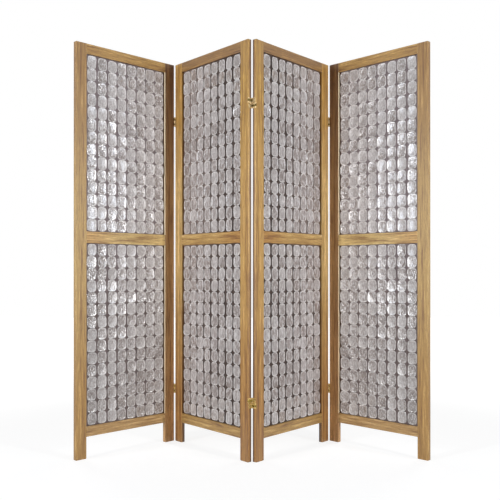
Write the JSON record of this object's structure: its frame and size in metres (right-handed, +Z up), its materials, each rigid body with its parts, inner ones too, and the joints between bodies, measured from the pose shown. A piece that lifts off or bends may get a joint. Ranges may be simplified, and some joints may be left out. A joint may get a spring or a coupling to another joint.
{
  "type": "folding room divider",
  "caption": "Free-standing folding screen of hinged wooden panels with legs, their openings faced with rows of round-cornered shell tiles.",
  "frame": {"origin": "on the floor, under the middle of the box round the standing screen", "axes": "+X along the screen to the right as seen from the front, +Y away from the front, +Z up"},
  "size_m": [1.4476, 0.4098, 1.7],
  "materials": {
    "stile_wood": "satin lacquer, grain upright",
    "rail_wood": "satin lacquer, grain along the rail",
    "backing_board": "dark brown stain, matt",
    "shell": "pearly, satin, opaque against its board",
    "hinge_brass": "antique brass, satin",
    "pin_brass": "antique brass, satin",
    "screw_brass": "brass, polished"
  },
  "bodies": {
    "panel_1": {"panel_1_stile_left": "stile_wood", "panel_1_stile_right": "stile_wood", "panel_1_top_rail": "rail_wood", "panel_1_mid_rail": "rail_wood", "panel_1_bottom_rail": "rail_wood", "panel_1_upper_board": "backing_board", "panel_1_lower_board": "backing_board", "panel_1_shells_front": "shell", "panel_1_shells_back": "shell", "fold_1_leaf_left": "hinge_brass", "fold_1_strap_lower": "hinge_brass", "fold_1_pins_left": "pin_brass", "fold_1_screws_left": "screw_brass"},
    "panel_2": {"panel_2_stile_left": "stile_wood", "panel_2_stile_right": "stile_wood", "panel_2_top_rail": "rail_wood", "panel_2_mid_rail": "rail_wood", "panel_2_bottom_rail": "rail_wood", "panel_2_upper_board": "backing_board", "panel_2_lower_board": "backing_board", "panel_2_shells_front": "shell", "panel_2_shells_back": "shell", "fold_1_leaf_right": "hinge_brass", "fold_1_strap_upper": "hinge_brass", "fold_1_pins_right": "pin_brass", "fold_1_screws_right": "screw_brass", "fold_2_leaf_left": "hinge_brass", "fold_2_strap_upper": "hinge_brass", "fold_2_pins_left": "pin_brass", "fold_2_screws_left": "screw_brass"},
    "panel_3": {"panel_3_stile_left": "stile_wood", "panel_3_stile_right": "stile_wood", "panel_3_top_rail": "rail_wood", "panel_3_mid_rail": "rail_wood", "panel_3_bottom_rail": "rail_wood", "panel_3_upper_board": "backing_board", "panel_3_lower_board": "backing_board", "panel_3_shells_front": "shell", "panel_3_shells_back": "shell", "fold_2_leaf_right": "hinge_brass", "fold_2_strap_lower": "hinge_brass", "fold_2_pins_right": "pin_brass", "fold_2_screws_right": "screw_brass", "fold_3_leaf_left": "hinge_brass", "fold_3_strap_lower": "hinge_brass", "fold_3_pins_left": "pin_brass", "fold_3_screws_left": "screw_brass"},
    "panel_4": {"panel_4_stile_left": "stile_wood", "panel_4_stile_right": "stile_wood", "panel_4_top_rail": "rail_wood", "panel_4_mid_rail": "rail_wood", "panel_4_bottom_rail": "rail_wood", "panel_4_upper_board": "backing_board", "panel_4_lower_board": "backing_board", "panel_4_shells_front": "shell", "panel_4_shells_back": "shell", "fold_3_leaf_right": "hinge_brass", "fold_3_strap_upper": "hinge_brass", "fold_3_pins_right": "pin_brass", "fold_3_screws_right": "screw_brass"}
  },
  "joints": [
    {"name": "fold_1", "type": "hinge", "parent": "panel_2", "child": "panel_1", "pos_m": [-0.34955, 0.18799, 0], "axis": [0, 0, 1], "range_deg": [-94.4, 85.6]},
    {"name": "fold_2", "type": "hinge", "parent": "panel_2", "child": "panel_3", "pos_m": [0, -0.18911, 0], "axis": [0, 0, 1], "range_deg": [-98.8, 80.2]},
    {"name": "fold_3", "type": "hinge", "parent": "panel_3", "child": "panel_4", "pos_m": [0.34955, 0.18799, 0], "axis": [0, 0, 1], "range_deg": [-85.6, 94.4]}
  ]
}
